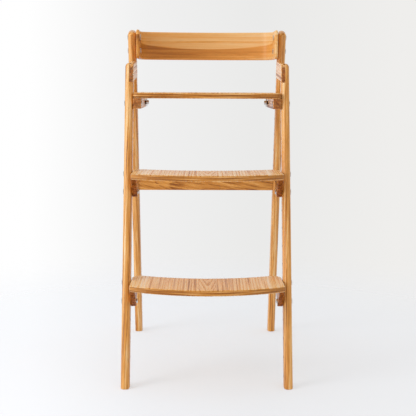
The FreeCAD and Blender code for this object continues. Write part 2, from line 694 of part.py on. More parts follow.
# Seat: a rail at each end, bolted to a front leg and a rear leg, with holes for two more heights
SEAT_Y, SEAT_Z = front_axis(SEAT_HOLE)
RAIL_MIDDLE = f"({BOARD_END} - Dims.rail_thick / 2)"
RAIL_SCREWS = ["Dims.rail_screw_front", "Dims.rail_screw_rear"]
REAR_BOLT = leg_gap(SEAT_HOLE)
LOWEST_BOLT = leg_gap(f"({SEAT_HOLE} - Dims.hole_pitch)")
HIGHEST_BOLT = leg_gap(f"({SEAT_HOLE} + Dims.hole_pitch)")
RAIL_TOP = "(Dims.rail_height / 2)"


def make_rail(name, hand):
    """Rail under the seat, with its lower corners rounded."""
    body = new_body(name)
    face = f"({hand} * {BOARD_END})"
    end = f"({LOWEST_BOLT} + Dims.rail_rear)"
    side = new_sketch(body, f"{name}_side", "YZ_Plane", face)
    outline(side, [("-Dims.rail_front", f"-{RAIL_TOP}"), (end, f"-{RAIL_TOP}"), (end, RAIL_TOP),
                   ("-Dims.rail_front", RAIL_TOP)])
    pad(body, f"{name}_blank", side, "Dims.rail_thick", back=hand > 0)
    top = number(RAIL_TOP)
    round_edges(body, f"{name}_noses", lambda edge: along(edge, AXIS_X) and level(edge, -top),
                "Dims.rail_nose")
    round_edges(body, f"{name}_rounding",
                lambda edge: upright(edge) and not level(edge, top), "Dims.rail_edge")
    drill(body, f"{name}_front_hole", "YZ_Plane", face, [("0", "0")], INSERT_HOLE, back=hand < 0)
    drill(body, f"{name}_rear_holes", "YZ_Plane", face,
          [(HIGHEST_BOLT, "0"), (REAR_BOLT, "0"), (LOWEST_BOLT, "0")], "Dims.hole_diameter", back=hand < 0)
    bracket_screw_holes(body, name, RAIL_TOP, f"({hand} * {RAIL_MIDDLE})", RAIL_SCREWS)
    place(body, "0", SEAT_Y, SEAT_Z)
    node(body, name)


def make_seat():
    """Seat board with a gently curved front, lying on its two rails."""
    body = new_body("seat_board")
    front = (f"(Dims.seat_front_radius - Dims.seat_reach"
             f" - sqrt(Dims.seat_front_radius^2 - {BOARD_END}^2))")
    rear = "(Dims.seat_depth - Dims.seat_reach)"
    plan = new_sketch(body, "seat_plan", "XY_Plane")
    outline(plan, [(f"-{BOARD_END}", front, "Dims.seat_front_radius", 1), (BOARD_END, front),
                   (BOARD_END, rear), (f"-{BOARD_END}", rear)])
    pad(body, "seat_blank", plan, "Dims.board_thick", middle=True)
    round_board(body, "seat", [(lambda edge: along(edge, AXIS_Z), "Dims.seat_corner")])
    board_screw_holes(body, "seat_screw_holes", RAIL_MIDDLE, RAIL_SCREWS)
    place(body, "0", SEAT_Y, f"({SEAT_Z} + {RAIL_TOP} + {HALF_BOARD})")
    node(body, "seat_board")


make_seat()
REAR_SEAT_Y = f"({SEAT_Y} + {REAR_BOLT})"
rail_face = f"({BOARD_END} - Dims.rail_thick)"
for word, hand in SIDES.items():
    make_rail(f"seat_bracket_{word}", hand)
    copies(f"seat_bolts_{word}", [facing_in(seat_front_bolt, hand, OUTSIDE, SEAT_Y, SEAT_Z),
                                  facing_in(seat_rear_bolt, hand, OUTSIDE, REAR_SEAT_Y, SEAT_Z)])
wood_screws("seat_screws", RAIL_MIDDLE, SEAT_Y, RAIL_SCREWS,
            f"({SEAT_Z} + {RAIL_TOP} - Dims.screw_grip - Dims.screw_head_height)")
for label, master, x, y in (
        ("seat_bushes", rear_bush, rail_face, REAR_SEAT_Y),
        ("seat_washers", rear_washer, f"({rail_face} - Dims.bush_length)", REAR_SEAT_Y),
        ("seat_rear_nuts", rear_nut, f"({rail_face} - Dims.bush_length - Dims.washer_thick)", REAR_SEAT_Y)):
    copies(label, [facing_in(master, hand, x, y, SEAT_Z) for hand in SIDES.values()])
copies("seat_front_nuts", [facing_out(rail_nut, hand, rail_face, SEAT_Y, SEAT_Z) for hand in SIDES.values()])


# Backrest: inner face as an arc for the back, an arc for each bend and a straight arm to the front
BAND_IN = f"({INSIDE} - Dims.spacer_thick - Dims.band_thick)"
BAND_OUT = f"({INSIDE} - Dims.spacer_thick)"
BEND_X = f"({BAND_IN} - Dims.band_corner)"
BOW_Y = "(Dims.band_back - Dims.band_bow)"
BEND_RISE = f"sqrt((Dims.band_bow - Dims.band_corner)^2 - {BEND_X}^2)"
BEND_Y = f"({BOW_Y} + {BEND_RISE})"
BAND_BOLTS_AT = "(Dims.rear_leg_length - Dims.band_bolt_top - Dims.band_bolt_pitch / 2)"


def bend_end(offset):
    """Where a bend runs into the back, for the inner face or one offset from it."""
    share = f"((Dims.band_bow + {offset}) / (Dims.band_bow - Dims.band_corner))"
    return f"({BEND_X} * {share})", f"({BOW_Y} + {BEND_RISE} * {share})"


def make_backrest():
    """Bent band whose arms run forward inside the posts."""
    body = new_body("backrest")
    out_x, out_y = bend_end("Dims.band_thick")
    in_x, in_y = bend_end("0")
    bend_out = "(Dims.band_corner + Dims.band_thick)"
    bow_out = "(Dims.band_bow + Dims.band_thick)"
    front = "(-Dims.band_front)"
    plan = new_sketch(body, "backrest_plan", "XY_Plane")
    outline(plan, [
        (BAND_OUT, front), (BAND_OUT, BEND_Y, bend_out, 1), (out_x, out_y, bow_out, 1),
        (f"-{out_x}", out_y, bend_out, 1), (f"-{BAND_OUT}", BEND_Y), (f"-{BAND_OUT}", front),
        (f"-{BAND_IN}", front), (f"-{BAND_IN}", BEND_Y, "Dims.band_corner", -1),
        (f"-{in_x}", in_y, "Dims.band_bow", -1), (in_x, in_y, "Dims.band_corner", -1),
        (BAND_IN, BEND_Y), (BAND_IN, front)])
    pad(body, "backrest_blank", plan, "Dims.band_height", middle=True)
    face = number("Dims.band_height / 2")
    ends = number(front)
    round_edges(body, "backrest_ends",
                lambda edge: along(edge, AXIS_X) and edge.CenterOfMass.y < ends + TOUCH, "Dims.band_end")
    corners = ends + number("Dims.band_end")
    round_edges(body, "backrest_rounding",
                lambda edge: not along(edge, AXIS_X) and (level(edge, face) or level(edge, -face)
                                                          or edge.CenterOfMass.y < corners), "Dims.band_edge")
    holes = new_sketch(body, "backrest_holes", "YZ_Plane")
    for way in (1, -1):
        circle(holes, f"(-({way}) * Dims.band_bolt_pitch / 2 * sin({LEAN}))",
               f"(Dims.band_drop + {way} * Dims.band_bolt_pitch / 2 * cos({LEAN}))", "Dims.hole_diameter")
    pocket(body, "backrest_holes_cut", holes, middle=True)
    y, z = rear_axis(BAND_BOLTS_AT)
    place(body, "0", y, f"({z} - Dims.band_drop)")
    node(body, "backrest")


make_backrest()
band_heights = [f"({BAND_BOLTS_AT} + {way} * Dims.band_bolt_pitch / 2)" for way in (1, -1)]
band_spots = [rear_axis(height) for height in band_heights]
SLEEVE_HOLE = "(Dims.cap_sleeve + 2 * Dims.insert_fit)"
for word, hand in SIDES.items():
    post = doc.getObject(f"rear_leg_{word}")
    drill(post, f"post_sleeves_{word}", "YZ_Plane", f"({hand} * Dims.leg_width / 2)",
          [("0", height) for height in band_heights], SLEEVE_HOLE,
          "Dims.cap_length + Dims.insert_relief", back=hand < 0)
for label, master, x, direction in (("backrest_bolts", band_bolt, BAND_IN, facing_out),
                                    ("backrest_spacers", band_spacer, BAND_OUT, facing_out),
                                    ("backrest_cap_nuts", cap_nut, OUTSIDE, facing_in)):
    copies(label, [direction(master, hand, x, y, z) for hand in SIDES.values() for y, z in band_spots])

doc.recompute()
for item in doc.Objects:
    if "Invalid" in item.State or "Error" in item.State:
        raise ValueError(f"{item.Label} failed: {item.State}")
for item in NODES:
    if item.Shape.isNull() or not item.Shape.isValid() or not item.Shape.Solids:
        raise ValueError(f"{item.Label} has no sound solid")
os.makedirs("parts", exist_ok=True)
for item in NODES:
    item.Shape.exportStep(f"parts/{item.Label}.step")
    box = item.Shape.optimalBoundingBox()
    print(f"{item.Label}: {len(item.Shape.Solids)} solid(s), {item.Shape.Volume / 1000:.1f} cm3,"
          f" x {box.XMin:.1f} {box.XMax:.1f} y {box.YMin:.1f} {box.YMax:.1f} z {box.ZMin:.1f} {box.ZMax:.1f}")
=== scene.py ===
# %% [markdown]
# # A toddler's counter height chair
# The chair is an oiled oak A-frame that carries a seat, a footrest and a climbing step on bolts.
# Its solids come packed from the CAD model, so this lesson adds what the CAD model lacks:
# the oak's figure, the sheen of the oil, the steel, the light and the camera.

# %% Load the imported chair
import math

import bpy
import numpy as np
from mathutils import Euler, Matrix, Vector


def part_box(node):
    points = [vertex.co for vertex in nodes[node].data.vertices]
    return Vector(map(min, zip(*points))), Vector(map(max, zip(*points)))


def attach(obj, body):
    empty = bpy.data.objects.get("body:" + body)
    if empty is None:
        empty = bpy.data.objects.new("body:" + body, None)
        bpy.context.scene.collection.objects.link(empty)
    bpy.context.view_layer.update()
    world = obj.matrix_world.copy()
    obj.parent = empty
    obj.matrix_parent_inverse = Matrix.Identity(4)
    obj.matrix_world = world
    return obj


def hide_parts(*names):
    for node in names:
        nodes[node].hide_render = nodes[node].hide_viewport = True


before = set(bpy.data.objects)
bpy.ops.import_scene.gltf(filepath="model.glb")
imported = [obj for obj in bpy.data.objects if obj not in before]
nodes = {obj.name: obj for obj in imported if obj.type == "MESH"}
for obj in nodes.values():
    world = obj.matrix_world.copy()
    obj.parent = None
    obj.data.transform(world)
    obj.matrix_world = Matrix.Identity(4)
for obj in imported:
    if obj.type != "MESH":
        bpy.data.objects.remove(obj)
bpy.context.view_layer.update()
MM = 0.001

# %% [markdown]
# ## Camera
# The photograph was taken from straight in front, about level with the seat and tipped a little down.
# A camera can be placed by eye, but here its place was solved from the leg lines and the board corners,
# so it is written as a point, three angles and a focal length in pixels of a 416 pixel frame.

# %% Camera
FRAME_PIXELS = 416
FOCAL_PIXELS = 975.0
SENSOR = 36.0            # mm
CAMERA_AT = Vector((-25.1, -2533.4, 721.9)) * MM
PITCH, YAW, ROLL = (math.radians(angle) for angle in (7.163, 0.657, -0.249))

forward = Vector((math.sin(YAW) * math.cos(PITCH), math.cos(YAW) * math.cos(PITCH), -math.sin(PITCH)))
level = Vector((math.cos(YAW), -math.sin(YAW), 0.0))
down = forward.cross(level)
right = level * math.cos(ROLL) + down * math.sin(ROLL)
upward = level * math.sin(ROLL) - down * math.cos(ROLL)

lens = bpy.data.cameras.new("camera")
lens.sensor_fit = "HORIZONTAL"
lens.sensor_width = SENSOR
lens.lens = SENSOR * FOCAL_PIXELS / FRAME_PIXELS
camera = bpy.data.objects.new("camera", lens)
camera.matrix_world = Matrix((
    (right.x, upward.x, -forward.x, CAMERA_AT.x),
    (right.y, upward.y, -forward.y, CAMERA_AT.y),
    (right.z, upward.z, -forward.z, CAMERA_AT.z),
    (0.0, 0.0, 0.0, 1.0)))
bpy.context.collection.objects.link(camera)
bpy.context.scene.camera = camera
bpy.context.scene.view_settings.view_transform = "Standard"
print("lens mm", round(lens.lens, 2), "at", [round(value, 3) for value in CAMERA_AT])

# %% [markdown]
# ## Helpers for every finish
# Colours are easier to judge as the sRGB hex values that a paint program shows, while shaders add light
# in linear values, so one function turns the first into the second.
# A finish could be wired by hand in the node editor, but a script has to say it in words.
# So one function adds a node with its settings and what feeds it, and another fills a colour ramp.

# %% Colour and node helpers
MIX_A, MIX_B, MIX_OUT = 6, 7, 2      # a Mix node's two colours, and their mixture


def linear(hex_colour):
    """sRGB hex to linear RGBA.

    Up to 0.04045 a channel is divided by 12.92, above it (channel + 0.055) / 1.055 is raised to 2.4.
    """
    channels = np.array([int(hex_colour[at:at + 2], 16) for at in (1, 3, 5)]) / 255.0
    low = channels / 12.92
    high = ((channels + 0.055) / 1.055) ** 2.4
    return (*np.where(channels <= 0.04045, low, high).tolist(), 1.0)


def node(tree, kind, feeds=None, out=0, **settings):
    """Adds one node and returns its output socket.

    Settings are the node's properties, and feeds are values or sockets by the input that takes them.
    """
    made = tree.nodes.new(kind)
    for name, value in settings.items():
        setattr(made, name, value)
    for key, value in (feeds or {}).items():
        if isinstance(value, bpy.types.NodeSocket):
            tree.links.new(value, made.inputs[key])
        else:
            made.inputs[key].default_value = value
    return made.outputs[out] if made.outputs else made


def stops(ramp_output, *pairs):
    """Sets a colour ramp's stops from (position, colour) pairs and hands the output back."""
    elements = ramp_output.node.color_ramp.elements
    while len(elements) > 1:
        elements.remove(elements[-1])
    elements[0].position, elements[0].color = pairs[0]
    for position, colour in pairs[1:]:
        elements.new(position).color = colour
    return ramp_output


def grey(value):
    """A grey of that linear value, for ramps that carry a factor."""
    return (value, value, value, 1.0)


def new_finish(name):
    """An empty material and its node tree."""
    finish = bpy.data.materials.new(name)
    finish.use_nodes = True
    finish.node_tree.nodes.clear()
    return finish, finish.node_tree


def dress(finish, *names):
    """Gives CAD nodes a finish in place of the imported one."""
    for name in names:
        nodes[name].data.materials.clear()
        nodes[name].data.materials.append(finish)
    print(finish.name, "on", ", ".join(names))


print("middle grey in linear", round(linear("#808080")[0], 3))

# %% [markdown]
# ## Oiled oak
# Oak is ring porous: every year it lays a band of open pores and then a band of dense wood.
# Sawn along the trunk that shows as dark lines a few millimetres apart, with short pore dashes in them,
# and across the trunk as brown end grain, which drinks more oil.
# The oil hardens to a thin film: the eye gets a satin sheen from dense wood and a duller one from pores.
# A picture of planks would be the quick way, but a solid pattern runs through edges and holes as wood does.
# So each piece is cut from an imagined log, and one function paints any place in that log.

# %% Oak: colours and sizes
OAK_CREAM, OAK_PALE, OAK_HONEY = linear("#EED3B4"), linear("#EBBE80"), linear("#E2A04F")
OAK_AMBER, OAK_BROWN, OAK_PORE = linear("#C37E32"), linear("#8C4F19"), linear("#6A3812")
END_LIGHT, END_DARK = linear("#B0601E"), linear("#5E2A02")
RING = 4.6 * MM          # a year's growth is 2 to 5 mm on fast grown oak, drawn wide so that it shows
UNEVEN, DRIFT = 3.0, 0.4     # good and poor years: rings that the spacing drifts by, and how fast in a ring
EARLY_MEAN = 0.33        # share of a ring that is early wood
PORE = 1.2 * MM          # pore dashes are 0.3 mm wide on real oak, drawn wider so that they show
PORE_DEPTH = 0.12 * MM
PORE_SUNK = 2.0          # depth of a pore against that of the early wood round it
STREAK = 5.5 * MM        # bands of darker years
FAINT, CLEAR = 0.2, 1.8  # how much of the rings shows in a pale streak and in a dark one
FLECK = 5 * MM           # dark and light patches of end grain
STRETCH = 14.0           # wood changes this much more slowly along the grain
LONG_STREAK = 0.35       # and its dark streaks more slowly still
WAVE_PERIOD = 2 * math.pi / 20      # a wave texture's ring spacing at scale 1
OIL_IOR = 1.5            # a hardened oil film over oak
OPEN_ROUGH = 0.17        # early wood is this much rougher than late wood
print("mm: year", round(RING / MM, 1), "pore", round(PORE / MM, 1), "streak", round(STREAK / MM, 1))


# %% Oak: from a place in the log to a surface
def years(tree, log, cone, wander, ring):
    """Early wood at a place in the log: it grows over each ring and stops short where the next one starts.

    A year is a cone about the pith: distance from the pith plus the cone's slope times the length along it,
    moved by a slow noise of itself, so that rings are wide in good years and narrow in poor ones.
    """
    section = node(tree, "ShaderNodeMapping", {"Vector": log, "Scale": (1.0, 1.0, 0.0)})
    trunk = node(tree, "ShaderNodeVectorMath", {0: section}, out="Value", operation="LENGTH")
    aside = node(tree, "ShaderNodeSeparateXYZ", {0: log})
    length = aside.node.outputs[2]
    year = node(tree, "ShaderNodeMath", {0: length, 1: cone, 2: trunk}, operation="MULTIPLY_ADD")
    growth = node(tree, "ShaderNodeTexNoise", {"W": year, "Scale": DRIFT / ring}, noise_dimensions="1D")
    uneven = node(tree, "ShaderNodeMath", {0: growth, 1: UNEVEN * ring, 2: year}, operation="MULTIPLY_ADD")
    rings = node(tree, "ShaderNodeTexWave", {
        "Vector": node(tree, "ShaderNodeCombineXYZ", {0: uneven, 1: aside, 2: length}),
        "Scale": WAVE_PERIOD / ring, "Distortion": wander, "Detail": 2.0, "Detail Scale": 0.22,
        "Detail Roughness": 0.55}, out="Fac", wave_type="BANDS", bands_direction="X", wave_profile="SAW")
    return stops(node(tree, "ShaderNodeValToRGB", {"Fac": rings}),
                 (0.0, grey(0.0)), (0.5, grey(0.18)), (0.8, grey(0.75)), (0.92, grey(1.0)), (1.0, grey(0.15)))


def oiled(tree, log, tone, end, end_colour, cone=0.0, wander=6.0, rings_share=0.4, streak_share=0.7,
          pore_share=0.5, sheen=0.25, ring=RING, dark=STREAK, satin=0.25):
    """Paints oak at a place in the log, whose third axis is the grain, and gives it an oiled satin skin.

    Figure is a tone plus slow streaks and year rings, both about zero, and sets one of five oak colours.
    Pores are dashes in the early wood, darker and sunk. The end colour covers all that where `end` is 1.
    """
    early = years(tree, log, cone, wander, ring)
    slow = node(tree, "ShaderNodeMapping", {"Vector": log, "Scale": (1.0, 1.0, LONG_STREAK)})
    streak = node(tree, "ShaderNodeTexNoise", {
        "Vector": slow, "Scale": 1 / dark, "Detail": 4.0, "Roughness": 0.62})
    lowest = -0.5 * streak_share - EARLY_MEAN * rings_share
    bands = node(tree, "ShaderNodeMapRange", {
        "Value": streak, "From Min": 0.3, "From Max": 0.7, "To Min": lowest, "To Max": lowest + streak_share})
    toned = node(tree, "ShaderNodeMath", {0: bands, 1: tone}, operation="ADD")
    shown = node(tree, "ShaderNodeMapRange", {
        "Value": streak, "From Min": 0.35, "From Max": 0.65,
        "To Min": FAINT * rings_share, "To Max": CLEAR * rings_share})
    figure = node(tree, "ShaderNodeMath", {0: early, 1: shown, 2: toned}, operation="MULTIPLY_ADD")
    wood = stops(node(tree, "ShaderNodeValToRGB", {"Fac": figure}),
                 (0.0, OAK_CREAM), (0.22, OAK_PALE), (0.45, OAK_HONEY), (0.72, OAK_AMBER), (1.0, OAK_BROWN))
    dashes = node(tree, "ShaderNodeTexNoise", {"Vector": log, "Scale": 1 / PORE, "Detail": 1.0})
    pores = node(tree, "ShaderNodeMapRange", {"Value": dashes, "From Min": 0.5, "From Max": 0.66})
    open_pores = node(tree, "ShaderNodeMath", {0: pores, 1: early}, operation="MULTIPLY")
    dark_pores = node(tree, "ShaderNodeMath", {0: open_pores, 1: pore_share}, operation="MULTIPLY")
    pored = node(tree, "ShaderNodeMix", {
        0: dark_pores, MIX_A: wood, MIX_B: OAK_PORE}, out=MIX_OUT, data_type="RGBA")
    colour = node(tree, "ShaderNodeMix", {
        0: end, MIX_A: pored, MIX_B: end_colour}, out=MIX_OUT, data_type="RGBA")
    sunk = node(tree, "ShaderNodeMath", {0: open_pores, 1: PORE_SUNK, 2: early}, operation="MULTIPLY_ADD")
    bump = node(tree, "ShaderNodeBump", {
        "Height": sunk, "Strength": 0.3, "Distance": PORE_DEPTH}, invert=True)
    rough = node(tree, "ShaderNodeMapRange", {
        "Value": early, "To Min": satin, "To Max": satin + OPEN_ROUGH})
    skin = node(tree, "ShaderNodeBsdfPrincipled", {
        "Base Color": colour, "Roughness": rough, "Normal": bump, "IOR": OIL_IOR,
        "Specular IOR Level": sheen, "Coat Weight": 0.1, "Coat Roughness": 0.2, "Coat IOR": OIL_IOR})
    node(tree, "ShaderNodeOutputMaterial", {"Surface": skin})


# %% [markdown]
# ## Rows of bolt holes
# Each leg has a row of drilled holes, so that a board can be bolted in higher or lower as the child grows.
# The holes are cut in the CAD model. Their walls could wear the leg's own oak, but that shines in the light,
# while the shade inside a hole looks dark. So painted shade, in the end grain's colour, fills a bore round
# each hole's middle.

# %% Rows of bolt holes
LEG_LEAN = math.radians(15.8)
HOLE_FIRST, HOLE_PITCH = 28 * MM, 45 * MM      # along a leg, from the floor
BORE, HEAD = 3.5 * MM, 7 * MM                  # radius of a hole and of a bolt's head
# painted shade: the soft rim round a hole is where the shade inside it fades out
HOLE_SHADE_RIM = 0.4 * MM                           # width of the dark rim round a hole
REAR_FIRST = 11                                # holes below the first one of a rear leg, counted as in front
seat_low, seat_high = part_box("seat_bolts_left")
seat_up = (seat_low.z + seat_high.z) / 2
hole_up = Vector((0.0, math.sin(LEG_LEAN), math.cos(LEG_LEAN))) * HOLE_PITCH
front_top = Vector((0.0, seat_low.y + HEAD, seat_up)) + hole_up
rear_top = Vector((0.0, seat_high.y - HEAD, seat_up)) + hole_up * Vector((1.0, -1.0, 1.0))
hole_count = round((front_top.z / math.cos(LEG_LEAN) - HOLE_FIRST) / HOLE_PITCH) + 1
rear_count = hole_count - REAR_FIRST


def painted_hole_shade(tree, where, top_hole, lean, count):
    """Is 1 inside the holes of a leg's row and 0 elsewhere: where painted shade darkens the oak.

    The leg is turned upright about its top hole. The height is wrapped to the nearest multiple of the pitch,
    and its distance from that hole's middle is set against the bore.
    """
    leg = node(tree, "ShaderNodeMapping", {
        "Vector": where, "Location": top_hole, "Rotation": (lean, 0.0, 0.0)}, vector_type="TEXTURE")
    aside = node(tree, "ShaderNodeSeparateXYZ", {0: leg}, out=1)
    along = aside.node.outputs[2]
    nearest = node(tree, "ShaderNodeMath", {
        0: along, 1: HOLE_PITCH / 2, 2: -HOLE_PITCH / 2}, operation="WRAP")
    from_middle = node(tree, "ShaderNodeCombineXYZ", {0: aside, 1: nearest})
    reach = node(tree, "ShaderNodeVectorMath", {0: from_middle}, out="Value", operation="LENGTH")
    shade_in_bore = node(tree, "ShaderNodeMapRange", {
        "Value": reach, "From Min": BORE + HOLE_SHADE_RIM, "From Max": BORE})
    in_row = node(tree, "ShaderNodeMath", {
        0: along, 1: (1 - count) / 2 * HOLE_PITCH, 2: count / 2 * HOLE_PITCH}, operation="COMPARE")
    return node(tree, "ShaderNodeMath", {0: shade_in_bore, 1: in_row}, operation="MULTIPLY")


print("holes in a front leg", hole_count, "and in a rear leg", rear_count)

# %% [markdown]
# ## Legs, rails and brackets
# These are sawn from solid oak with the grain along the piece, which is how a chair maker gets strength.
# One finish for all could be turned piece by piece with UV maps. Here each kind of piece has a finish
# of its own, whose log lies along the piece, because that also gives each its own tone of wood.

# %% Solid oak: a log laid along each piece
END_TURN = 0.22          # how far a face turns, as a cosine, from the first end grain to the full


def solid_oak(name, turn, pith, tone=0.5, end_share=0.8, end_from=0.7, row=None, **skin):
    """Oak whose grain runs along the turned Z axis, with the log's pith through a point given in metres.

    End grain is darker. It shows where a face looks along the grain: where the cosine between them is high.
    A row's holes get the same end colour, as painted shade.
    """
    finish, tree = new_finish(name)
    where = node(tree, "ShaderNodeTexCoord", out="Object")
    log = node(tree, "ShaderNodeMapping", {
        "Vector": where, "Location": pith, "Rotation": turn,
        "Scale": (1.0, 1.0, STRETCH)}, vector_type="TEXTURE")
    grain = Euler(turn).to_matrix() @ Vector((0.0, 0.0, 1.0))
    face = node(tree, "ShaderNodeTexCoord", out="Normal")
    facing = node(tree, "ShaderNodeVectorMath", {0: face, 1: grain}, out="Value", operation="DOT_PRODUCT")
    across = node(tree, "ShaderNodeMath", {0: facing}, operation="ABSOLUTE")
    end = node(tree, "ShaderNodeMapRange", {
        "Value": across, "From Min": end_from, "From Max": end_from + END_TURN, "To Max": end_share})
    if row:
        # painted shade inside the holes, in the dark end grain colour
        holes = painted_hole_shade(tree, where, *row)
        end = node(tree, "ShaderNodeMath", {0: end, 1: holes}, operation="MAXIMUM")
    flecks = node(tree, "ShaderNodeTexNoise", {
        "Vector": where, "Scale": 1 / FLECK, "Detail": 3.0, "Roughness": 0.6})
    ends = stops(node(tree, "ShaderNodeValToRGB", {"Fac": flecks}), (0.35, END_DARK), (0.65, END_LIGHT))
    oiled(tree, log, tone, end, ends, **skin)
    return finish


# %% Legs, yokes and stretcher
YOKE_RISE = math.radians(4.3)
QUARTER = math.pi / 2
SAWN = math.radians(1.2)            # a plank is never sawn quite along the log
dress(solid_oak("oiled_oak_front_legs", (SAWN - LEG_LEAN, SAWN, 0.0), (0.05, -0.33, 0.0),
                tone=0.54, end_share=0.2, row=(front_top, -LEG_LEAN, hole_count),
                rings_share=0.25, streak_share=0.65, sheen=0.45),
      "front_leg_left", "front_leg_right")
dress(solid_oak("oiled_oak_rear_legs", (LEG_LEAN + SAWN, -SAWN, 0.0), (-0.04, 0.38, 0.0),
                tone=0.5, end_share=0.2, row=(rear_top, LEG_LEAN, rear_count),
                rings_share=0.25, streak_share=0.7, sheen=0.35),
      "rear_leg_left", "rear_leg_right")
dress(solid_oak("oiled_oak_yokes", (YOKE_RISE - QUARTER, 0.0, 0.0), (0.12, 0.0, 0.70),
                tone=0.4, end_share=0.9, sheen=0.5),
      "yoke_left", "yoke_right")
dress(solid_oak("oiled_oak_stretcher", (0.0, QUARTER + 8 * SAWN, 6 * SAWN), (-0.05, 0.13, 0.43),
                tone=0.64, rings_share=0.22, streak_share=0.45),
      "rear_stretcher")

# %% Brackets: darker oak with much end grain, darker still as painted shade under the boards
# painted shade: the low tone and wide end grain stand in for the shade that falls under the boards
dress(solid_oak("oiled_oak_brackets_painted_shade", (-QUARTER, 0.0, 0.0), (0.1, 0.0, 0.30),
                tone=0.8, end_share=0.95, end_from=0.35, sheen=0.05),
      "step_bracket_left", "step_bracket_right", "footrest_bracket_left", "footrest_bracket_right")
dress(solid_oak("oiled_oak_seat_rails", (-QUARTER, 0.0, 0.0), (0.1, 0.0, 0.62),
                tone=0.6, end_share=0.75, sheen=0.35),
      "seat_bracket_left", "seat_bracket_right")

# %% [markdown]
# ## The bent back
# The backrest is a thin oak strip, laminated and bent into a U, so its grain follows the bend.
# A pattern fixed in space would show end grain on the arms. Instead each point is given the place
# that it had in the flat strip before bending, and the oak is drawn there.

# %% The strip before bending
BEND_INSIDE, BOW_INSIDE, STRIP = 36 * MM, 650 * MM, 8 * MM      # inner radii, and the strip's thickness
band_low, band_high = (np.array(corner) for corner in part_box("backrest"))
arm_middle = band_high[0] - STRIP / 2
bend_x = band_high[0] - STRIP - BEND_INSIDE
bow_y = band_high[1] - STRIP - BOW_INSIDE
bend_y = bow_y + math.sqrt((BOW_INSIDE - BEND_INSIDE) ** 2 - bend_x ** 2)
bow_angle = math.asin(bend_x / (BOW_INSIDE - BEND_INSIDE))
bow_middle, bend_middle = BOW_INSIDE + STRIP / 2, BEND_INSIDE + STRIP / 2


def unbent(points):
    """Place in the flat strip, for an array of points.

    Along it counts the length over the bow, the bend and the arm: radius times angle, or a straight distance.
    Through it counts the distance from the strip's middle, and up it the height above its foot.
    """
    side, x, y = np.sign(points[:, 0]), np.abs(points[:, 0]), points[:, 1]
    bow_turn = np.arctan2(x, y - bow_y)
    bend_turn = np.arctan2(y - bend_y, x - bend_x)
    half_bow = bow_middle * bow_angle
    whole_bend = bend_middle * (QUARTER - bow_angle)
    on_arm, on_bow = y < bend_y, bow_turn < bow_angle
    along = np.select([on_arm, on_bow], [half_bow + whole_bend + bend_y - y, bow_middle * bow_turn],
                      half_bow + bend_middle * (QUARTER - bow_angle - bend_turn))
    through = np.select([on_arm, on_bow], [x - arm_middle, np.hypot(x, y - bow_y) - bow_middle],
                        np.hypot(x - bend_x, y - bend_y) - bend_middle)
    return np.column_stack((side * along, through, points[:, 2] - band_low[2]))


# %% The back, a copy of its solid that carries the flat strip
band_mesh = nodes["backrest"].data.copy()
band_mesh.name = "backrest_band"
band_points = np.zeros(len(band_mesh.vertices) * 3)
band_mesh.vertices.foreach_get("co", band_points)
flat_strip = unbent(band_points.reshape(-1, 3))
band_mesh.attributes.new("unbent", "FLOAT_VECTOR", "POINT").data.foreach_set("vector", flat_strip.ravel())
band = bpy.data.objects.new("backrest_band", band_mesh)
bpy.context.collection.objects.link(band)
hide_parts("backrest")
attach(band, "frame")
print("strip length mm", round(float(np.ptp(flat_strip[:, 0])) / MM, 1), "thickness mm",
      round(float(np.ptp(flat_strip[:, 1])) / MM, 2))

# %% [markdown]
# ## The back's darker heart
# The strip was cut so that a darker run of years lies along its lower half, with a clear upper edge
# that sags in the middle. The whole strip pales towards the right, as painted light on the end that faces the
# window.
# Such a cut could come from a log laid askew, but its edge is easier to place as a curve over the
# flat strip: its height rises with the square of the length from the middle.

# %% Bent oak
HEART_TOP = 28 * MM       # its upper edge above the foot of the band, at the middle
HEART_SAG = 0.38          # rise of that edge towards the ends, in metres for each metre squared
# painted light: the right end faces the window, so the tone is made paler there and darker at the left end
PAINTED_LIGHT_RIGHT = 1.3          # share of its tone that it loses for each metre towards the right
HEART_BLUR, HEART_DEEP = 2 * MM, 40 * MM      # from above the edge to below it, where the tone changes
bent, tree = new_finish("bent_oak_back")
strip = node(tree, "ShaderNodeAttribute", out="Vector", attribute_name="unbent")
along = node(tree, "ShaderNodeSeparateXYZ", {0: strip})
height = along.node.outputs[2]
squared = node(tree, "ShaderNodeMath", {0: along, 1: along}, operation="MULTIPLY")
edge = node(tree, "ShaderNodeMath", {0: squared, 1: HEART_SAG, 2: HEART_TOP}, operation="MULTIPLY_ADD")
below = node(tree, "ShaderNodeMath", {0: edge, 1: height}, operation="SUBTRACT")
inward = node(tree, "ShaderNodeMapRange", {"Value": below, "From Min": -HEART_BLUR, "From Max": HEART_DEEP})
heart = stops(node(tree, "ShaderNodeValToRGB", {"Fac": inward}),
              (0.0, grey(0.33)), (0.06, grey(0.7)), (0.35, grey(0.6)), (0.62, grey(0.48)), (1.0, grey(0.43)))
# painted light: the tone is paler towards the right and darker towards the left
right_painted_light = node(tree, "ShaderNodeMath", {0: along, 1: -PAINTED_LIGHT_RIGHT, 2: 1.0}, operation="MULTIPLY_ADD")
heart_and_painted_light = node(tree, "ShaderNodeMath", {0: heart, 1: right_painted_light}, operation="MULTIPLY")
straight = node(tree, "ShaderNodeMapping", {
    "Vector": strip, "Location": (0.0, -0.06, 0.02), "Rotation": (0.0, QUARTER, 0.0),
    "Scale": (1.0, 1.0, STRETCH)}, vector_type="TEXTURE")
oiled(tree, straight, heart_and_painted_light, 0.0, END_DARK,
      rings_share=0.08, streak_share=0.2, pore_share=0.15, satin=0.38)
band_mesh.materials.clear()
band_mesh.materials.append(bent)
print(bent.name, "on", band.name)

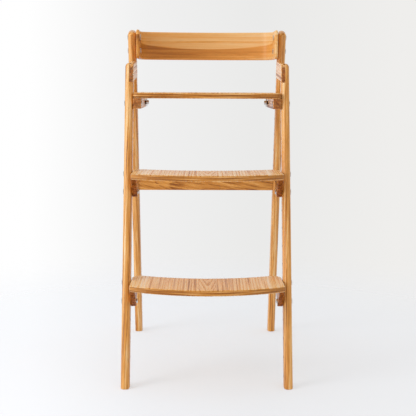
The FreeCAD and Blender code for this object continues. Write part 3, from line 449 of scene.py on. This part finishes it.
# %% [markdown]
# ## Boards
# Seat, footrest and step are oak faced plywood. The face is glued up from staves, with the grain running
# front to back. Each stave comes from another log, so tone and figure change from stave to stave,
# and the middle one is sawn near the heart, where the rings come out as pointed arches.
# The cut edges show the plies as long streaks.
# Every stave could be a mesh of its own, but a board is one solid, so its pattern counts the staves.

# %% Staves
STAVE = 41 * MM
NEXT_PITH = 1.2          # the other staves lie at least this many staves from their pith
PITH_DEPTH = 6 * MM      # the middle stave is sawn this close above the pith
STAVE_APART = 0.37       # staves are cut this far apart along their logs, so that no two look the same
LOG_TAPER = 0.12         # slope of a ring where the middle stave cuts it
PLAIN_SHARE = 0.1        # share of that slope on the other staves


def staves(tree, where):
    """Place in the log of the stave that holds a point, the stave's number, and 0 in the middle stave or 1.

    The number is the distance across the board over a stave's width, rounded. What the rounding leaves is
    the place inside the stave, and a random draw for each number sets how far off its pith lies.
    """
    x = node(tree, "ShaderNodeSeparateXYZ", {0: where})
    y, z = x.node.outputs[1], x.node.outputs[2]
    count = node(tree, "ShaderNodeMath", {0: x, 1: STAVE}, operation="DIVIDE")
    stave = node(tree, "ShaderNodeMath", {0: count}, operation="ROUND")
    inside = node(tree, "ShaderNodeMath", {0: count, 1: stave}, operation="SUBTRACT")
    draw = node(tree, "ShaderNodeTexWhiteNoise", {"W": stave}, out="Value", noise_dimensions="1D")
    off_middle = node(tree, "ShaderNodeMath", {0: stave}, operation="ABSOLUTE")
    away = node(tree, "ShaderNodeMath", {0: off_middle, 1: 1.0}, operation="MINIMUM")
    further = node(tree, "ShaderNodeMath", {0: draw, 1: NEXT_PITH}, operation="ADD")
    from_pith = node(tree, "ShaderNodeMath", {0: further, 1: away, 2: inside}, operation="MULTIPLY_ADD")
    across = node(tree, "ShaderNodeMath", {0: from_pith, 1: STAVE}, operation="MULTIPLY")
    depth = node(tree, "ShaderNodeMath", {0: PITH_DEPTH, 1: z}, operation="SUBTRACT")
    slow = node(tree, "ShaderNodeMath", {0: y, 1: STRETCH}, operation="DIVIDE")
    length = node(tree, "ShaderNodeMath", {0: stave, 1: STAVE_APART, 2: slow}, operation="MULTIPLY_ADD")
    return node(tree, "ShaderNodeCombineXYZ", {0: across, 1: depth, 2: length}), stave, away


# %% Boards
PLY = 3.5 * MM           # plies of the board, which its edges show as long streaks
PLY_RUN = 0.02           # how much more slowly a ply changes along the edge than across it
BOARD_RING = 7.5 * MM    # flat sawn faces cut the years at a slant, so they show wider
BOARD_STREAK = 6.0 * MM
FACE_UP, EDGE_UP = 0.8, 0.35     # upright share of a normal, where the plies begin to show and show fully
EDGE_SHARE = 0.9         # how much of the plies' colour shows there


def board(name, node_name, tones):
    """Oak staves side by side, each with its own tone and pith, and plies on the edges.

    A stave's number picks its tone from the list, by a ramp in steps. Plies are noise squeezed in height.
    """
    low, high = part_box(node_name)
    finish, tree = new_finish(name)
    where = node(tree, "ShaderNodeMapping", {
        "Vector": node(tree, "ShaderNodeTexCoord", out="Object"),
        "Location": (0.0, (low.y + high.y) / 2, high.z)}, vector_type="TEXTURE")
    log, stave, away = staves(tree, where)
    turn = node(tree, "ShaderNodeMapRange", {
        "Value": stave, "From Min": -0.5 * len(tones), "From Max": 0.5 * len(tones)})
    steps = node(tree, "ShaderNodeValToRGB", {"Fac": turn})
    steps.node.color_ramp.interpolation = "CONSTANT"
    tone = stops(steps, *[(at / len(tones), grey(tone)) for at, tone in enumerate(tones)])
    cone = node(tree, "ShaderNodeMapRange", {
        "Value": away, "To Min": -LOG_TAPER * STRETCH, "To Max": -PLAIN_SHARE * LOG_TAPER * STRETCH})
    face = node(tree, "ShaderNodeSeparateXYZ", {0: node(tree, "ShaderNodeTexCoord", out="Normal")}, out=2)
    flat = node(tree, "ShaderNodeMath", {0: face}, operation="ABSOLUTE")
    edge = node(tree, "ShaderNodeMapRange", {
        "Value": flat, "From Min": FACE_UP, "From Max": EDGE_UP, "To Max": EDGE_SHARE})
    layer = node(tree, "ShaderNodeMapping", {"Vector": where, "Scale": (PLY_RUN, PLY_RUN, 1.0)})
    cut = node(tree, "ShaderNodeTexNoise", {
        "Vector": layer, "Scale": 1 / PLY, "Detail": 2.0, "Roughness": 0.6})
    plies = stops(node(tree, "ShaderNodeValToRGB", {"Fac": cut}),
                  (0.3, OAK_PALE), (0.42, OAK_AMBER), (0.55, OAK_BROWN), (0.65, OAK_PORE))
    oiled(tree, log, tone, edge, plies, cone=cone, wander=7.0, rings_share=0.27, streak_share=0.42,
          pore_share=0.25, sheen=0.15, ring=BOARD_RING, dark=BOARD_STREAK)
    dress(finish, node_name)


board("oak_plywood_seat", "seat_board", (0.35, 0.45, 0.4, 0.5, 0.45, 0.4, 0.45, 0.4, 0.35))
board("oak_plywood_footrest", "footrest_board", (0.25, 0.35, 0.42, 0.35, 0.4, 0.38, 0.32, 0.4, 0.25))
board("oak_plywood_step", "step_board", (0.22, 0.45, 0.5, 0.42, 0.48, 0.55, 0.4, 0.36, 0.24))

# %% [markdown]
# ## Dowels, steel and rubber
# The rest is small: beech dowel ends, dull steel bolts, zinc plated nuts and black rubber bushes.
# Each could be one flat colour, but at this size a fine mottle in colour and gloss is what keeps a
# bolt head from looking painted. Only colours, gloss and grit differ, so one function makes all four.

# %% Small parts
MOTTLE_DEPTH = 0.05 * MM


def mottled(name, colour, other, metallic, low_rough, high_rough, grit):
    """One finish with a fine mottle: noise of the given grit mixes two tones and moves the roughness."""
    finish, tree = new_finish(name)
    where = node(tree, "ShaderNodeTexCoord", out="Object")
    mottle = node(tree, "ShaderNodeTexNoise", {"Vector": where, "Scale": 1 / grit, "Detail": 3.0})
    colours = node(tree, "ShaderNodeMix", {
        0: mottle, MIX_A: linear(colour), MIX_B: linear(other)}, out=MIX_OUT, data_type="RGBA")
    rough = node(tree, "ShaderNodeMapRange", {"Value": mottle, "To Min": low_rough, "To Max": high_rough})
    bump = node(tree, "ShaderNodeBump", {"Height": mottle, "Strength": 0.2, "Distance": MOTTLE_DEPTH})
    skin = node(tree, "ShaderNodeBsdfPrincipled", {
        "Base Color": colours, "Roughness": rough, "Normal": bump, "Metallic": metallic})
    node(tree, "ShaderNodeOutputMaterial", {"Surface": skin})
    return finish


CAP_NUTS = "backrest_cap_nuts"
bolt_names = [name for name in sorted(nodes) if "_bolts" in name or name == CAP_NUTS]
plated_names = [name for name in sorted(nodes)
                if name.endswith(("_inserts", "_nuts", "_washers", "_screws")) and name != CAP_NUTS]
# Turned beech: an even, warm wood, sanded and not oiled, so it is dull.
dress(mottled("turned_beech", "#C9975F", "#B98450", 0.0, 0.45, 0.6, 1.5 * MM), "stretcher_dowels")
# Dull bolt steel: a grey metal whose forged and tumbled skin blurs what it mirrors.
dress(mottled("dull_bolt_steel", "#DAD8D4", "#BDBBB7", 1.0, 0.22, 0.4, 2.0 * MM), *bolt_names)
# Zinc plated steel: a lighter, slightly blue metal with a milky gloss.
dress(mottled("zinc_plated_steel", "#E2E4E4", "#C6C9C9", 1.0, 0.25, 0.45, 1.2 * MM), *plated_names)
# Moulded black rubber: near black, with hardly any gloss.
dress(mottled("moulded_black_rubber", "#1B1A19", "#262423", 0.0, 0.6, 0.8, 1.0 * MM),
      "seat_bushes", "backrest_spacers")

# %% [markdown]
# ## World and floor
# The chair stood in a white studio with daylight from the left, so the backdrop is white on that side.
# A wall behind the chair would hide it from the other side, so the world itself is the backdrop.
# The light that the world gives the chair is a soft one, strongest from above and the left.
# The floor shows only near the chair, where shadows fall, and lets the backdrop through further out.

# %% World
FILL = 0.64              # soft light from all round
SLANT = 0.6              # and how much more of it comes from above and the left than from the other side
SOFT_FROM = Vector((-0.4, -0.2, 0.9)).normalized()
SWEEP = 0.2              # the backdrop goes from white to grey within this sideways share of a direction
ROOM = 0.35              # what the sheen mirrors from the front, where the room is dimmer than the backdrop
ROOM_FRONT, ROOM_BACK = -0.8, 0.3      # backward share of a direction: dimmest at the first, full at the next
WHITE = linear("#FFFFFF")
world = bpy.data.worlds.new("studio")
bpy.context.scene.world = world
world.use_nodes = True
tree = world.node_tree
tree.nodes.clear()
direction = node(tree, "ShaderNodeTexCoord", out="Generated")
sideways = node(tree, "ShaderNodeSeparateXYZ", {0: direction})
backward = sideways.node.outputs[1]
soft = node(tree, "ShaderNodeVectorMath", {0: direction, 1: SOFT_FROM}, out="Value", operation="DOT_PRODUCT")
strength = node(tree, "ShaderNodeMath", {0: soft, 1: FILL * SLANT, 2: FILL}, operation="MULTIPLY_ADD")
sweep = node(tree, "ShaderNodeMapRange", {"Value": sideways, "From Min": -SWEEP, "From Max": SWEEP})
backdrop = stops(node(tree, "ShaderNodeValToRGB", {"Fac": sweep}),
                 (0.08, WHITE), (0.22, linear("#F8F8F8")), (0.37, linear("#F0F0F0")),
                 (0.66, linear("#EAEAE9")), (1.0, linear("#EFEEEC")))
dimmed = node(tree, "ShaderNodeMapRange", {
    "Value": backward, "From Min": ROOM_FRONT, "From Max": ROOM_BACK, "To Min": ROOM, "To Max": 1.0})
seen = node(tree, "ShaderNodeLightPath", out="Is Camera Ray")
shiny = node(tree, "ShaderNodeMath", {
    0: seen.node.outputs["Is Glossy Ray"], 1: seen.node.outputs["Is Transmission Ray"]}, operation="MAXIMUM")
fill = node(tree, "ShaderNodeBackground", {"Color": WHITE, "Strength": strength})
mirrored = node(tree, "ShaderNodeBackground", {"Color": backdrop, "Strength": dimmed})
shown = node(tree, "ShaderNodeBackground", {"Color": backdrop, "Strength": 1.0})
lit = node(tree, "ShaderNodeMixShader", {0: shiny, 1: fill, 2: mirrored})
studio = node(tree, "ShaderNodeMixShader", {0: seen, 1: lit, 2: shown})
node(tree, "ShaderNodeOutputWorld", {"Surface": studio})
print("soft light from", [round(value, 2) for value in SOFT_FROM], "at", FILL)

# %% Floor
SIDE = 30.0              # half of the floor's width, in metres
SHADOW_SHARE = 0.45      # how much of the floor shows under the chair
FLOOR_NEAR, FLOOR_FAR = 0.5, 1.7      # metres from the chair, between which the floor fades out
corners = [(-SIDE, -SIDE, 0), (SIDE, -SIDE, 0), (SIDE, SIDE, 0), (-SIDE, SIDE, 0)]
floor_mesh = bpy.data.meshes.new("floor")
floor_mesh.from_pydata(corners, [], [(0, 1, 2, 3)])
floor = bpy.data.objects.new("floor", floor_mesh)
bpy.context.collection.objects.link(floor)
# Matt paper: white with a trace of blue, and no gloss at all.
paper, tree = new_finish("matt_paper_floor")
where = node(tree, "ShaderNodeTexCoord", out="Object")
reach = node(tree, "ShaderNodeVectorMath", {0: where}, out="Value", operation="LENGTH")
near = node(tree, "ShaderNodeMapRange", {
    "Value": reach, "From Min": FLOOR_FAR, "From Max": FLOOR_NEAR, "To Max": SHADOW_SHARE},
    interpolation_type="SMOOTHSTEP")
clear = node(tree, "ShaderNodeMath", {0: 1.0, 1: near}, operation="SUBTRACT")
seen = node(tree, "ShaderNodeLightPath", out="Is Camera Ray")
to_eye = node(tree, "ShaderNodeMath", {0: clear, 1: seen}, operation="MULTIPLY")
matt = node(tree, "ShaderNodeBsdfDiffuse", {"Color": linear("#F2F6FE")})
glass = node(tree, "ShaderNodeBsdfTransparent")
fading = node(tree, "ShaderNodeMixShader", {0: to_eye, 1: matt, 2: glass})
node(tree, "ShaderNodeOutputMaterial", {"Surface": fading})
floor_mesh.materials.append(paper)
print("floor fades from", FLOOR_NEAR, "to", FLOOR_FAR, "m")

# %% [markdown]
# ## Window
# The daylight came through a window on the left, in front of the chair, and drew soft shadows to the right.
# A sun lamp would cut those shadows hard, so an area lamp of a window's size stands there.

# %% Lamp
LAMP_AT, LAMP_AIM = Vector((-2.5, -1.5, 1.5)), Vector((0.0, 0.0, 0.5))
LAMP_WIDTH, LAMP_HEIGHT, LAMP_WATTS = 1.4, 1.9, 34.0
window = bpy.data.lights.new("window", "AREA")
window.shape = "RECTANGLE"
window.size = LAMP_WIDTH
window.size_y = LAMP_HEIGHT
window.energy = LAMP_WATTS
lamp = bpy.data.objects.new("window", window)
lamp_turn = (LAMP_AIM - LAMP_AT).to_track_quat("-Z", "Y").to_matrix().to_4x4()
lamp.matrix_world = Matrix.Translation(LAMP_AT) @ lamp_turn
bpy.context.collection.objects.link(lamp)
print("lamp distance m", round((LAMP_AIM - LAMP_AT).length, 2))

# %% [markdown]
# ## Update
# The view layer is brought up to date once more.

# %% Update the view layer
bpy.context.view_layer.update()
